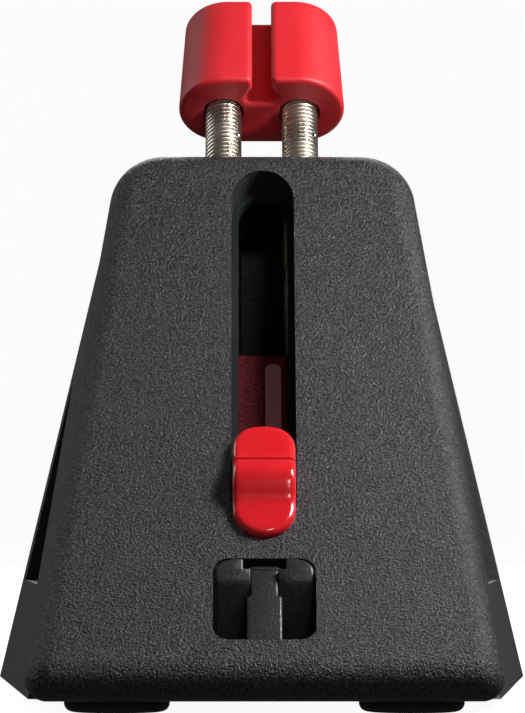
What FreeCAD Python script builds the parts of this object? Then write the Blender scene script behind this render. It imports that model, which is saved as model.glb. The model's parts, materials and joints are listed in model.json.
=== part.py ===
"""Desktop cord holder: a leaning slide in a pyramid housing carries a rubber clip on two springs.

Frames, all in millimetres with +Z up and X across:
- upright: Y runs from the virtual lower rear edge of the housing towards its front, Z from the base.
- leaning: the same origin tilted back by `lean`; Y goes into the housing, Z runs up the rear face.
The finished pieces are placed so that the whole object is centred on the origin and stands on Z = 0.
"""
import FreeCAD, Part
import os
import re
import sys

import Sketcher
from FreeCAD import Vector

os.makedirs("parts", exist_ok=True)
doc = FreeCAD.newDocument("cord_holder")
sheet = doc.addObject("Spreadsheet::Sheet", "Sizes")

# ---------------------------------------------------------------- driving dimensions
DRIVING = {
    # housing
    "lean": 38, "body_height": 79, "top_depth": 23, "front_draft": 1.5,
    "base_width": 81.9, "top_width": 44.3, "rear_width": 62.6,
    "wall": 2.2, "cover_depth": 11, "face_roll": 3.8, "corner_round": 7.8, "low_round": 3, "front_round": 5,
    "recess_deep": 3, "recess_low": 15, "recess_high": 46, "recess_back": 11, "recess_run": 26,
    # openings in the rear face
    "slot_width": 9.3, "slot_end": 1.27, "slot_top_gap": 2.9, "ledge_deep": 4.6, "collar_wall": 1.4,
    "window_width": 14.3, "window_tall": 13.9, "window_low": 10.9, "window_round": 2.2,
    "window_gap": 3.4,
    # track
    "track_thick": 1.6, "track_rim": 1.2, "track_over": 2.4, "inner_slot": 7.25,
    "inner_low": 1.2, "inner_high": 1.4, "rail_wide": 2.2, "rail_low": 9, "rail_high": 11,
    "lip_thick": 1.2, "lip_reach": 3.4, "ear_gap": 0.9, "post_low": 4, "post_high": 7,
    "running_gap": 0.1, "free_gap": 0.25,
    # carriage and knob
    "side_wall": 0.3, "carriage_tall": 38.1, "cap_thick": 5, "knob_gap": 0.15, "knob_tall": 19.2,
    "knob_proud": 2.4, "knob_soft": 0.9, "ridge_round": 2.6, "ridge_rise": 1.6, "ridge_up": 1.2,
    "ridge_inset": 0.5, "stem_tall": 13, "stem_soft": 2, "cap_soft": 1,
    "cap_screw_side": 1.9, "cap_screw_end": 4, "cap_screw_drop": 4.5, "thread": 2.8, "head_sink": 0.6,
    "leaf_wide": 2.3, "leaf_thick": 0.45, "leaf_tall": 19, "leaf_side": 0.3, "leaf_drop": 2, "leaf_soft": 0.9,
    "rivet_radius": 0.5, "rivet_head": 0.8, "rivet_thick": 0.25, "rivet_deep": 1.4,
    "rivet_low": 1.2, "rivet_high": 4.2,
    "pad_tall": 5, "pad_wide": 3, "pad_deep": 0.9, "pad_front": 0.5, "pad_low": 6.5, "pad_high": 3,
    # springs
    "spring_radius": 2.8, "wire": 0.75, "spring_half_span": 5.9, "spring_seat": 17,
    "spring_bare": 10, "spring_grip": 10.5, "plug_gap": 0.05, "plug_tall": 14, "plug_lift": 1, "plug_head": 1,
    "bore_gap": 0.1, "guide_gap": 0.3, "guide_back": 4.6, "guide_side": 2, "guide_soft": 1,
    "guide_lift": 0.6, "hole_gap": 0.2,
    # clip
    "clip_half": 12.85, "clip_near": 7.8, "clip_far": 6.7, "clip_tall": 17.4, "clip_soft": 1.2,
    "cord_mouth": 2.65, "cord_neck": 2.4, "cord_room": 5.2, "cord_deep": 2.8, "bore_mouth": 3.55,
    "mouth_tall": 2, "room_soft": 1.2,
    # lower cord guide
    "guide_wall": 1.6, "guide_deep": 9, "lobe_round": 3, "channel": 4.8, "nib_gap": 3.6,
    "nib_tall": 4.4, "nib_drop": 2.2, "tongue_wide": 4.2, "tongue_back": 2.2, "tongue_soft": 0.9,
    "guide_front": 0.3, "shelf_drop": 5.4, "nib_front": 0.6, "bar_deep": 2.4, "tongue_drop": 1.6,
    "flange_deep": 1.4, "flange_wide": 1.2, "seat_gap": 0.1,
    # base
    "base_thick": 2.2, "foot_radius": 7.4, "foot_height": 1.8, "foot_soft": 1.2,
    "foot_half_span": 20.6, "foot_rear": 16.5, "foot_front": 11,
    "ballast_half": 21, "ballast_tall": 13, "ballast_long": 34, "ballast_front": 5,
    "boss_radius": 2.8, "boss_tall": 11, "boss_inset": 5.4, "boss_rear": 24.5, "boss_front": 6,
    "screw_radius": 1.1, "shank_gap": 0.05, "head_radius": 2.1, "head_thick": 1.1, "screw_long": 8,
    "ballast_soft": 1.5, "boss_gap": 0.6,
    # how far a cutting tool runs past the face that it opens
    "past": 1,
}

# ---------------------------------------------------------------- sizes worked out from those
DERIVED = {
    "body_depth": "body_height*tan(lean)+top_depth",
    "depth_flare": "(base_width-rear_width)/2/body_depth",
    "height_flare": "(base_width-top_width)/2/body_height",
    "flare": "depth_flare*cos(lean)+height_flare*sin(lean)",
    "taper": "height_flare*cos(lean)-depth_flare*sin(lean)",
    "face_length": "body_height/cos(lean)",
    "cover_half": "rear_width/2+flare*cover_depth",
    "window_high": "window_low+window_tall",
    "slot_low": "window_high+window_gap",
    "slot_high": "face_length-slot_top_gap",
    "track_face": "ledge_deep",
    "track_back": "ledge_deep+track_thick",
    "track_low": "window_high+guide_wall+seat_gap",
    "track_high": "slot_high+track_over",
    "carriage_half": "spring_half_span+spring_radius+side_wall",
    "track_half": "carriage_half+rail_wide",
    "carriage_front": "track_back+running_gap",
    "spring_depth": "cover_depth",
    "carriage_back": "spring_depth+cap_thick",
    "carriage_low": "slot_low+free_gap",
    "carriage_high": "carriage_low+carriage_tall",
    "leaf_low": "carriage_high-leaf_drop-leaf_tall",
    "knob_low": "slot_low+knob_gap",
    "knob_mid": "knob_low+knob_tall/2",
    "knob_half": "slot_width/2-knob_gap",
    "knob_base": "ledge_deep-running_gap",
    "spring_low": "carriage_low+spring_seat",
    "spring_exit": "(body_height+spring_depth*sin(lean))/cos(lean)",
    "clip_low": "spring_exit+spring_bare",
    "clip_high": "clip_low+clip_tall",
    "spring_high": "clip_low+spring_grip",
    "coil_inside": "spring_radius-wire",
    "guide_low": "slot_high+guide_lift",
    "guide_tall": "face_length+track_back*tan(lean)-wall/cos(lean)-guide_low-seat_gap",
    "post_half": "track_half+head_radius+ear_gap",
    "clip_front": "spring_depth-clip_near",
    "clip_back": "spring_depth+clip_far",
    "object_depth": "clip_high*sin(lean)+clip_back*cos(lean)-clip_soft*(sin(lean)+cos(lean)-1)",
    "nose_depth": "face_roll/tan(45-lean/2)-face_roll",
    "centre": "(object_depth+nose_depth)/2",
    "foot_front_place": "body_depth-foot_front",
    "boss_front_place": "body_depth-boss_front",
    "boss_rear_half": "rear_width/2+depth_flare*boss_rear-height_flare*boss_tall/2-boss_inset+past",
    "boss_front_half": "base_width/2-height_flare*boss_tall/2-boss_inset-boss_gap",
    "ballast_back": "body_depth-wall-ballast_front",
}


def fill_sheet():
    """Write every size into the sheet, one row each, with its alias."""
    row = 0
    for name, size in DRIVING.items():
        row += 1
        sheet.set("A%d" % row, name)
        sheet.set("B%d" % row, str(size))
        sheet.setAlias("B%d" % row, name)
    for name, formula in DERIVED.items():
        row += 1
        sheet.set("A%d" % row, name)
        sheet.set("B%d" % row, "=" + formula)
        sheet.setAlias("B%d" % row, name)
    doc.recompute()


fill_sheet()
ALIASES = set(DRIVING) | set(DERIVED)


def bound(text):
    """Turn a formula in plain size names into an expression that reads the sheet."""
    return re.sub(r"[a-z_]+", lambda word: "Sizes." + word.group(0) if word.group(0) in ALIASES
                  else word.group(0), str(text))


def number(text):
    """The present value of a formula in plain size names."""
    answer = sheet.evalExpression(bound(text))
    return float(getattr(answer, "Value", answer))


# ---------------------------------------------------------------- placements
TILT_IN = "placement(vector(0;0;0);rotation(vector(-1;0;0);lean))"
LEANING = "placement(vector(0;-centre;foot_height);rotation(vector(-1;0;0);lean))"
UPRIGHT = "placement(vector(0;-centre;foot_height);rotation(vector(1;0;0);0))"
TURNS = {"z": "vector(0;0;1);0", "y": "vector(1;0;0);-90", "x": "vector(0;1;0);90"}


def place(item, where):
    item.setExpression("Placement", bound(where))
    return item


# ---------------------------------------------------------------- small builders
def block(x0, x1, y0, y1, z0, z1):
    """A box between two corners given as formulas."""
    box = doc.addObject("Part::Box", "Block")
    box.setExpression("Length", bound("(%s)-(%s)" % (x1, x0)))
    box.setExpression("Width", bound("(%s)-(%s)" % (y1, y0)))
    box.setExpression("Height", bound("(%s)-(%s)" % (z1, z0)))
    return place(box, "placement(vector(%s;%s;%s);rotation(vector(0;0;1);0))" % (x0, y0, z0))


def rod(radius, length, x, y, z, axis="z"):
    """A cylinder from a point along +X, +Y or +Z."""
    item = doc.addObject("Part::Cylinder", "Rod")
    item.setExpression("Radius", bound(radius))
    item.setExpression("Height", bound(length))
    return place(item, "placement(vector(%s;%s;%s);rotation(%s))" % (x, y, z, TURNS[axis]))


def funnel(radius_start, radius_end, length, x, y, z):
    """A cone frustum along +Z."""
    item = doc.addObject("Part::Cone", "Funnel")
    item.setExpression("Radius1", bound(radius_start))
    item.setExpression("Radius2", bound(radius_end))
    item.setExpression("Height", bound(length))
    return place(item, "placement(vector(%s;%s;%s);rotation(vector(0;0;1);0))" % (x, y, z))


def join(*items):
    fusion = doc.addObject("Part::MultiFuse", "Join")
    fusion.Shapes = list(items)
    return fusion


def cut(base, *tools):
    removal = doc.addObject("Part::Cut", "Cut")
    removal.Base = base
    removal.Tool = tools[0] if len(tools) == 1 else join(*tools)
    return removal


def common(*items):
    overlap = doc.addObject("Part::MultiCommon", "Common")
    overlap.Shapes = list(items)
    return overlap


def outline(corners, plane="flat", offset="0"):
    """A closed sketch whose corner coordinates are all bound to the sheet.

    flat: sketch (x, y) lies on X-Y at height `offset`; face: (x, z) on X-Z at depth `offset`;
    side: (y, z) on Y-Z at X = `offset`.
    """
    sketch = doc.addObject("Sketcher::SketchObject", "Outline")
    points = [Vector(number(across), number(up), 0) for across, up in corners]
    for index, point in enumerate(points):
        sketch.addGeometry(Part.LineSegment(point, points[(index + 1) % len(points)]))
    for index, (across, up) in enumerate(corners):
        following = (index + 1) % len(corners)
        sketch.addConstraint(Sketcher.Constraint("Coincident", index, 2, following, 1))
        for kind, formula, value in (("DistanceX", across, points[index].x),
                                     ("DistanceY", up, points[index].y)):
            rule = sketch.addConstraint(Sketcher.Constraint(kind, -1, 1, index, 1, value))
            sketch.setExpression("Constraints[%d]" % rule, bound(formula))
    turned = {"flat": "vector(0;0;%s);rotation(vector(0;0;1);0)",
              "face": "vector(0;%s;0);rotation(vector(1;0;0);90)",
              "side": "vector(%s;0;0);rotation(vector(1;1;1);120)"}[plane]
    return place(sketch, "placement(" + turned % offset + ")")


def sweep(sketch, direction, length, both_ways=False):
    """Extrude a closed sketch along a direction."""
    item = doc.addObject("Part::Extrusion", "Sweep")
    item.Base = sketch
    item.DirMode = "Custom"
    item.Dir = direction
    item.Solid = True
    item.Symmetric = both_ways
    item.setExpression("LengthFwd", bound(length))
    return item


def oval(half, rise, low, high, near, far):
    """A slot shape on the leaning face: straight sides, elliptical ends, from depth near to far."""
    pieces = [block("-(%s)" % half, half, near, far, "(%s)+(%s)" % (low, rise),
                    "(%s)-(%s)" % (high, rise))]
    for middle in ("(%s)+(%s)" % (low, rise), "(%s)-(%s)" % (high, rise)):
        ring = doc.addObject("Part::Ellipse", "End")
        ring.setExpression("MajorRadius", bound(rise))
        ring.setExpression("MinorRadius", bound(half))
        ring.Angle1 = 0
        ring.Angle2 = 360
        place(ring, "placement(vector(0;%s;%s);rotation(vector(1;0;0);90))"
              "*placement(vector(0;0;0);rotation(vector(0;0;1);90))" % (near, middle))
        pieces.append(sweep(ring, Vector(0, 1, 0), "(%s)-(%s)" % (far, near)))
    return join(*pieces)


def soften(base, *rules):
    """Round edges of a finished base in one go; each rule is a radius and a test for its edges."""
    doc.recompute()
    chosen = {}
    for radius, wanted in rules:
        for index, edge in enumerate(base.Shape.Edges):
            if wanted(edge):
                chosen[index + 1] = number(radius)
    if not chosen:
        sys.exit("no edges to round on " + base.Label)
    rounding = doc.addObject("Part::Fillet", "Soften")
    rounding.Base = base
    rounding.Edges = [(index, size, size) for index, size in sorted(chosen.items())]
    doc.recompute()
    return rounding


def middle_of(edge):
    return edge.valueAt((edge.FirstParameter + edge.LastParameter) / 2)


def runs_along(edge, axis):
    """True for an edge within about 25 degrees of an axis named x, y or z."""
    return abs(getattr(edge.tangentAt(edge.FirstParameter), axis)) > 0.9


FINISHED = []


def finish(item, name, where):
    """Name a finished piece after its node and set it in the object's frame."""
    place(item, where)
    item.Label = name
    FINISHED.append(item)
    return item


# ---------------------------------------------------------------- housing
def pyramid(inset, low, high):
    """The upright outer form of the housing, its sides moved in by `inset`."""
    loft = doc.addObject("Part::Loft", "Pyramid")
    sections = []
    for level in (low, high):
        front = "body_depth-(%s)-front_draft*(%s)/body_height" % (inset, level)
        rear_half = "rear_width/2-height_flare*(%s)-(%s)" % (level, inset)
        front_half = "(%s)+depth_flare*(%s)" % (rear_half, front)
        sections.append(outline([("-(%s)" % rear_half, "0"), (rear_half, "0"),
                                 (front_half, front), ("-(%s)" % front_half, front)],
                                "flat", level))
    loft.Sections = sections
    loft.Solid = True
    loft.Ruled = True
    return loft


def finger_recess(grow, inset):
    """The triangular side recess as a solid between the housing's side and its inset form."""
    back = "body_depth-recess_back+(%s)" % grow
    low = "recess_low-(%s)" % grow
    high = "recess_high+(%s)*1.6" % grow
    front = "body_depth-recess_back-recess_run-(%s)*1.6" % grow
    triangle = sweep(outline([(front, low), (back, low), (back, high)], "side"),
                     Vector(1, 0, 0), "base_width*1.2", both_ways=True)
    return cut(triangle, pyramid(inset, "0", "body_height"))


def lean_half_space(near, far):
    """Everything between two depths of the leaning frame, as a tool in the upright frame."""
    return tilt_in(block("-base_width", "base_width", near, far,
                         "-body_height", "face_length+body_height"))


def tilt_in(item):
    """Carry a leaning tool into an upright piece."""
    wrapped = doc.addObject("Part::Compound", "Tilted")
    wrapped.Links = [item]
    return place(wrapped, TILT_IN)


def spring_holes(radius, low, high):
    return [rod(radius, "(%s)-(%s)" % (high, low), side + "spring_half_span", "spring_depth", low)
            for side in ("-", "")]


def make_front_shell():
    outside = pyramid("0", "0", "body_height")
    back = number("body_height*tan(lean)+cover_depth")
    outside = soften(outside,
                     ("front_round", lambda edge: middle_of(edge).y > number("body_depth") - 3
                      and abs(edge.Vertexes[0].Z - edge.Vertexes[1].Z) > 1),
                     ("wall", lambda edge: middle_of(edge).z > number("body_height") - 0.01
                      and middle_of(edge).y > back),
                     ("corner_round", lambda edge: middle_of(edge).z > number("body_height") - 0.01
                      and runs_along(edge, "y")))
    outside = cut(outside, finger_recess("0", "recess_deep"))
    hollow = cut(pyramid("wall", "-past", "body_height-wall"), finger_recess("wall", "recess_deep+wall"))
    bosses = []
    for side in ("-", ""):
        for half, depth in (("boss_rear_half", "boss_rear"), ("boss_front_half", "boss_front_place")):
            bosses.append(rod("boss_radius", "boss_tall", side + half, depth, "base_thick+seat_gap"))
    bosses = common(join(*bosses), pyramid("wall/2", "-past", "body_height-wall"))
    pilots = [rod("screw_radius", "screw_long", side + half, depth, "0")
              for side in ("-", "")
              for half, depth in (("boss_rear_half", "boss_rear"),
                                  ("boss_front_half", "boss_front_place"))]
    body = join(cut(outside, hollow), bosses)
    holes = tilt_in(join(*spring_holes("spring_radius+guide_gap+hole_gap", "guide_low",
                                       "spring_exit+20")))
    shell = cut(body, lean_half_space("-base_width", "cover_depth"), holes, *pilots)
    return finish(shell, "front_shell", UPRIGHT)


def cover_form(inset, far):
    """The leaning slab of the rear cover, moved in by `inset` on every side."""
    low = "(%s)/cos(lean)"
    profile = outline([(inset, "(%s)*tan(lean)+%s" % (inset, low % inset)),
                       (inset, "face_length+(%s)*tan(lean)-%s" % (inset, low % inset)),
                       (far, "face_length+(%s)*tan(lean)-%s" % (far, low % inset)),
                       (far, "(%s)*tan(lean)+%s" % (far, low % inset))], "side")
    slab = sweep(profile, Vector(1, 0, 0), "base_width*1.2", both_ways=True)
    bottom = "-2"
    top = "face_length+cover_depth*tan(lean)+2"
    half = "cover_half-(%s)-taper*(%s)"
    face = outline([("-(%s)" % (half % (inset, bottom)), bottom), (half % (inset, bottom), bottom),
                    (half % (inset, top), top), ("-(%s)" % (half % (inset, top)), top)], "face", inset)
    return common(slab, sweep(face, Vector(0, 1, 0), "(%s)-(%s)" % (far, inset)))


def cover_rounds(inset):
    """The rules that round the cover's outline corners, low and high, and its face rim."""
    def corner(edge):
        return abs(edge.Vertexes[0].Y - edge.Vertexes[1].Y) > 1 and abs(middle_of(edge).x) > 1

    half_way = number("face_length/2")
    rules = [("low_round-(%s)" % inset, lambda edge: corner(edge) and middle_of(edge).z < half_way),
             ("corner_round-(%s)" % inset, lambda edge: corner(edge) and middle_of(edge).z > half_way)]
    if inset == "0":
        rules.append(("face_roll", lambda edge: all(abs(end.Y) < 0.01 for end in edge.Vertexes)))
    return rules


TRACK_POSTS = ("track_low+post_low", "track_high-post_high")


def make_rear_cover():
    outside = soften(cover_form("0", "cover_depth"), *cover_rounds("0"))
    hollow = soften(cover_form("wall", "cover_depth+0.01"), *cover_rounds("wall"))
    shell = cut(outside, hollow)
    collar = oval("slot_width/2+collar_wall", "(slot_width/2+collar_wall)*slot_end",
                  "slot_low-collar_wall", "slot_high+collar_wall", "wall/2", "ledge_deep")
    posts = [rod("boss_radius", "track_face-wall/2", side + "post_half", "wall/2",
                 height, "y") for side in ("-", "") for height in TRACK_POSTS]
    seat = block("-window_width/2-guide_wall-flange_wide", "window_width/2+guide_wall+flange_wide",
                 "wall/2", "wall+flange_deep", "window_low-guide_wall-flange_wide",
                 "window_high+guide_wall")
    body = join(shell, collar, seat, *posts)
    slot = oval("slot_width/2", "slot_width/2*slot_end", "slot_low", "slot_high", "-past",
                "ledge_deep+past")
    window = soften(block("-window_width/2", "window_width/2", "-past", "cover_depth",
                          "window_low", "window_high"),
                    ("window_round", lambda edge: runs_along(edge, "y")))
    holes = spring_holes("spring_radius+guide_gap+hole_gap", "guide_low", "spring_exit+20")
    pilots = [rod("screw_radius", "track_face", side + "post_half", "wall",
                  height, "y") for side in ("-", "") for height in TRACK_POSTS]
    cover = cut(body, slot, window, *holes, *pilots)
    return finish(cover, "rear_cover", LEANING)


def make_slide_track():
    plate = block("-track_half-track_rim", "track_half+track_rim", "track_face", "track_back",
                  "track_low", "track_high")
    ears = [block("-post_half-boss_radius", "post_half+boss_radius", "track_face", "track_back",
                  height + "-boss_radius", height + "+boss_radius") for height in TRACK_POSTS]
    rail_inside = "(carriage_half+pad_deep/2+running_gap)"
    rail_span = ("track_low+rail_low", "track_high-rail_high")
    rails = []
    for side, outer in (("-", "-track_half"), ("", "track_half")):
        low, high = (outer, "-" + rail_inside) if side else (rail_inside, outer)
        rails.append(block(low, high, "track_back", "carriage_back+running_gap+lip_thick",
                           *rail_span))
        tip = "(track_half-lip_reach)"
        low, high = (outer, "-" + tip) if side else (tip, outer)
        rails.append(block(low, high, "carriage_back+running_gap",
                           "carriage_back+running_gap+lip_thick", *rail_span))
    slot = oval("inner_slot/2", "inner_slot/2*slot_end", "slot_low+inner_low", "slot_high-inner_high",
                "track_face-past", "track_back+past")
    holes = [rod("screw_radius", "track_thick+2*past", side + "post_half",
                 "track_face-past", height, "y") for side in ("-", "") for height in TRACK_POSTS]
    return finish(cut(join(plate, *(ears + rails)), slot, *holes), "slide_track", LEANING)


def compound(items):
    group = doc.addObject("Part::Compound", "Group")
    group.Links = items
    return group


def make_track_screws():
    pieces = []
    for side in ("-", ""):
        for height in TRACK_POSTS:
            shank = rod("screw_radius", "track_back-wall-hole_gap", side + "post_half",
                        "wall+hole_gap", height, "y")
            head = rod("head_radius", "head_thick", side + "post_half", "track_back", height, "y")
            pieces.append(join(shank, head))
    return finish(compound(pieces), "track_screws", LEANING)


def make_spring_guide():
    half = "(spring_half_span+spring_radius+guide_side)"
    body = soften(block("-" + half, half, "track_back", "spring_depth+guide_back", "guide_low",
                        "guide_low+guide_tall"),
                  ("guide_soft", lambda edge: runs_along(edge, "z")
                   and middle_of(edge).y > number("spring_depth")))
    bores = spring_holes("spring_radius+guide_gap", "guide_low-past", "guide_low+guide_tall+past")
    pilot = rod("screw_radius", "thread+head_sink", "0", "track_face", "guide_low+guide_tall/2", "y")
    return finish(cut(body, pilot, *bores), "spring_guide", LEANING)


# ---------------------------------------------------------------- carriage
def make_carriage():
    body = block("-carriage_half", "carriage_half", "carriage_front", "spring_depth",
                 "carriage_low", "carriage_high")
    stem = soften(block("-(inner_slot/2-free_gap)", "inner_slot/2-free_gap", "knob_base",
                        "carriage_front+past", "knob_mid-stem_tall/2", "knob_mid+stem_tall/2"),
                  ("stem_soft", lambda edge: runs_along(edge, "y")))
    bores = spring_holes("spring_radius+bore_gap", "spring_low", "carriage_high+past")
    screw = rod("screw_radius", "cover_depth+2*past", "0", "knob_base-past", "knob_mid", "y")
    head = rod("head_radius+hole_gap", "cover_depth", "0", "spring_depth-head_thick-head_sink",
               "knob_mid", "y")
    pilots = [rod("screw_radius", "thread+hole_gap", across, "spring_depth-thread-hole_gap", height, "y")
              for across, height in CAP_SCREWS]
    rivets = [rod("rivet_radius", "rivet_deep", "leaf_side+leaf_wide/2", "carriage_front", height, "y")
              for height in LEAF_RIVETS]
    pockets = [block(*spot) for spot in pad_blocks()]
    body = cut(join(body, stem), screw, head, *(bores + pilots + rivets + pockets))
    return finish(body, "carriage", LEANING)


CAP_SCREWS = [(side + "(carriage_half-cap_screw_side)", height) for side in ("-", "")
              for height in ("carriage_low+cap_screw_end", "spring_low-cap_screw_drop")]
CAP_SCREWS += [("0", "carriage_high-cap_screw_end"), ("0", "spring_low+cap_screw_end")]
LEAF_RIVETS = ("leaf_low+rivet_low", "leaf_low+rivet_high")


def pad_blocks():
    """Four glide pads at the carriage's sides, as corner formulas."""
    spots = []
    for low in ("carriage_low+pad_low", "carriage_high-pad_high-pad_tall"):
        for inner, outer in (("-carriage_half-pad_deep/2", "-carriage_half+pad_deep/2"),
                             ("carriage_half-pad_deep/2", "carriage_half+pad_deep/2")):
            spots.append((inner, outer, "carriage_front+pad_front",
                          "carriage_front+pad_front+pad_wide", low, "%s+pad_tall" % low))
    return spots


def make_glide_pads():
    return finish(compound([block(*spot) for spot in pad_blocks()]), "glide_pads", LEANING)


def make_carriage_cap():
    body = soften(block("-carriage_half", "carriage_half", "spring_depth", "carriage_back",
                        "carriage_low", "carriage_high"),
                  ("cap_soft", lambda edge: runs_along(edge, "z")
                   and middle_of(edge).y > number("carriage_back-0.1")))
    bores = spring_holes("spring_radius+bore_gap", "spring_low", "carriage_high+past")
    ways = [rod("screw_radius+shank_gap", "cap_thick+2*past", across, "spring_depth-past", height, "y")
            for across, height in CAP_SCREWS]
    sinks = [rod("head_radius-hole_gap", "head_thick+past", across, "carriage_back-head_thick", height, "y")
             for across, height in CAP_SCREWS]
    return finish(cut(body, *(bores + ways + sinks)), "carriage_cap", LEANING)


def make_carriage_screws():
    pieces = []
    for across, height in CAP_SCREWS:
        shank = rod("screw_radius-shank_gap", "cap_thick-head_thick+thread", across,
                    "spring_depth-thread", height, "y")
        head = rod("head_radius-hole_gap-running_gap", "head_thick", across,
                   "carriage_back-head_thick", height, "y")
        pieces.append(join(shank, head))
    return finish(compound(pieces), "carriage_screws", LEANING)


def make_slider_knob():
    plug = oval("knob_half", "knob_half*slot_end", "knob_low", "knob_low+knob_tall",
                "-knob_proud", "knob_base")
    top = -number("knob_proud")
    plug = soften(plug, ("knob_soft", lambda edge: all(abs(end.Y - top) < 0.01 for end in edge.Vertexes)))
    ridge = rod("ridge_round", "2*(knob_half-ridge_inset)", "-(knob_half-ridge_inset)",
                "-knob_proud+ridge_round-ridge_rise", "knob_mid+ridge_up", "x")
    screw = rod("screw_radius", "knob_base+past", "0", "hole_gap", "knob_mid", "y")
    return finish(cut(join(plug, ridge), screw), "slider_knob", LEANING)


def make_knob_screw():
    head_at = "(spring_depth-head_thick-head_sink)"
    shank = rod("screw_radius-shank_gap", head_at + "-2*hole_gap", "0", "2*hole_gap", "knob_mid", "y")
    head = rod("head_radius", "head_thick", "0", head_at, "knob_mid", "y")
    return finish(join(shank, head), "knob_screw", LEANING)


def make_friction_leaf():
    leaf = soften(block("leaf_side", "leaf_side+leaf_wide", "carriage_front-leaf_thick",
                        "carriage_front", "leaf_low", "leaf_low+leaf_tall"),
                  ("leaf_soft", lambda edge: runs_along(edge, "y")))
    holes = [rod("rivet_radius", "2*past", "leaf_side+leaf_wide/2", "carriage_front-past", height, "y")
             for height in LEAF_RIVETS]
    return finish(cut(leaf, *holes), "friction_leaf", LEANING)


def make_leaf_rivets():
    pieces = []
    for height in LEAF_RIVETS:
        middle = "leaf_side+leaf_wide/2"
        shank = rod("rivet_radius", "leaf_thick+rivet_deep", middle, "carriage_front-leaf_thick", height, "y")
        head = rod("rivet_head", "rivet_thick", middle, "carriage_front-leaf_thick-rivet_thick", height,
                   "y")
        pieces.append(join(shank, head))
    return finish(compound(pieces), "leaf_rivets", LEANING)


# ---------------------------------------------------------------- springs and clip
def make_spring(name, across):
    coil = cut(rod("spring_radius", "spring_high-spring_low", across, "spring_depth", "spring_low"),
               rod("coil_inside", "spring_high-spring_low+2*past", across, "spring_depth",
                   "spring_low-past"))
    return finish(coil, name, LEANING)


def make_lower_plugs():
    pieces = [rod("coil_inside-plug_gap", "plug_tall", side + "spring_half_span", "spring_depth",
                  "spring_low") for side in ("-", "")]
    return finish(compound(pieces), "lower_plugs", LEANING)


def make_upper_plugs():
    pieces = []
    for side in ("-", ""):
        across = side + "spring_half_span"
        pin = rod("coil_inside-plug_gap", "spring_grip-plug_lift", across, "spring_depth",
                  "clip_low+plug_lift")
        head = rod("spring_radius-hole_gap", "plug_head", across, "spring_depth", "spring_high")
        pieces.append(join(pin, head))
    return finish(compound(pieces), "upper_plugs", LEANING)


def make_cord_clip():
    depth = "(clip_near+clip_far)"
    middle = "(clip_front+clip_back)/2"
    centre = "(clip_half-%s/2)" % depth
    body = join(block("-" + centre, centre, "clip_front", "clip_back", "clip_low", "clip_high"),
                rod(depth + "/2", "clip_tall", "-" + centre, middle, "clip_low"),
                rod(depth + "/2", "clip_tall", centre, middle, "clip_low"))
    body.Refine = True
    doc.recompute()
    low = number("clip_low")
    high = number("clip_high")
    body = soften(body, ("clip_soft", lambda edge: min(abs(middle_of(edge).z - low),
                                                       abs(middle_of(edge).z - high)) < 0.01))
    mouth = block("-cord_mouth/2", "cord_mouth/2", "clip_front-past", "clip_front+cord_neck+past/2",
                  "clip_low-past", "clip_high+past")
    room = soften(block("-cord_room/2", "cord_room/2", "clip_front+cord_neck",
                        "clip_front+cord_neck+cord_deep", "clip_low-past", "clip_high+past"),
                  ("room_soft", lambda edge: runs_along(edge, "z")))
    bores = spring_holes("spring_radius+bore_gap", "clip_low-past", "spring_high+plug_head")
    funnels = [funnel("bore_mouth", "spring_radius+bore_gap", "mouth_tall",
                      side + "spring_half_span", "spring_depth", "clip_low") for side in ("-", "")]
    return finish(cut(body, mouth, room, *(bores + funnels)), "cord_clip", LEANING)


# ---------------------------------------------------------------- lower cord guide
def make_cord_guide():
    gap = "seat_gap"
    half = "(window_width/2-%s)" % gap
    low = "(window_low+%s)" % gap
    high = "(window_high-%s)" % gap
    body = soften(block("-" + half, half, "guide_front", "guide_deep", low, high),
                  ("window_round-seat_gap", lambda edge: runs_along(edge, "y")))
    shelf = "(%s-shelf_drop)" % high
    scoop_back = "(lobe_round+guide_front)"
    scoop = cut(block("-" + half, half, "-past", scoop_back, low, shelf + "+lobe_round"),
                rod("lobe_round", "window_width", "-window_width/2", scoop_back,
                    shelf + "+lobe_round", "x"))
    scoop_low = block("-" + half, half, "-past", "guide_deep-guide_wall", low + "+0.01", shelf)
    channel = block("-channel/2", "channel/2", "-past", "guide_deep-guide_wall", low + "-past",
                    high + "+past")
    nib_span = ("nib_front", "lobe_round", high + "-nib_drop-nib_tall", high + "-nib_drop")
    nibs = [block("-channel/2-past/2", "-nib_gap/2", *nib_span),
            block("nib_gap/2", "channel/2+past/2", *nib_span)]
    bar = block("-channel/2-past/2", "channel/2+past/2", "-past", "bar_deep", high + "-nib_drop",
                high + "+past")
    tongue = soften(block("-tongue_wide/2", "tongue_wide/2", "tongue_back", "guide_deep-past/2",
                          low, high + "-tongue_drop"),
                    ("tongue_soft", lambda edge: runs_along(edge, "y")
                     and middle_of(edge).z > number("window_high-tongue_drop-past")))
    flange = cut(block("-window_width/2-guide_wall", "window_width/2+guide_wall", "wall+flange_deep",
                       "wall+flange_deep+guide_wall", "window_low-guide_wall",
                       "window_high+guide_wall-free_gap"),
                 block("-" + half, half, "0", "cover_depth", low, high))
    lobes = cut(body, scoop, scoop_low, channel, bar)
    return finish(join(lobes, flange, tongue, *nibs), "cord_guide", LEANING)


# ---------------------------------------------------------------- base
FOOT_PLACES = {"foot_rear_left": ("-foot_half_span", "foot_rear"),
               "foot_rear_right": ("foot_half_span", "foot_rear"),
               "foot_front_left": ("-foot_half_span", "foot_front_place"),
               "foot_front_right": ("foot_half_span", "foot_front_place")}
BOSS_PLACES = [(side + half, depth) for side in ("-", "")
               for half, depth in (("boss_rear_half", "boss_rear"),
                                   ("boss_front_half", "boss_front_place"))]
BALLAST_SCREWS = [(side + "ballast_half/2", "ballast_back-ballast_long/2") for side in ("-", "")]


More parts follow.
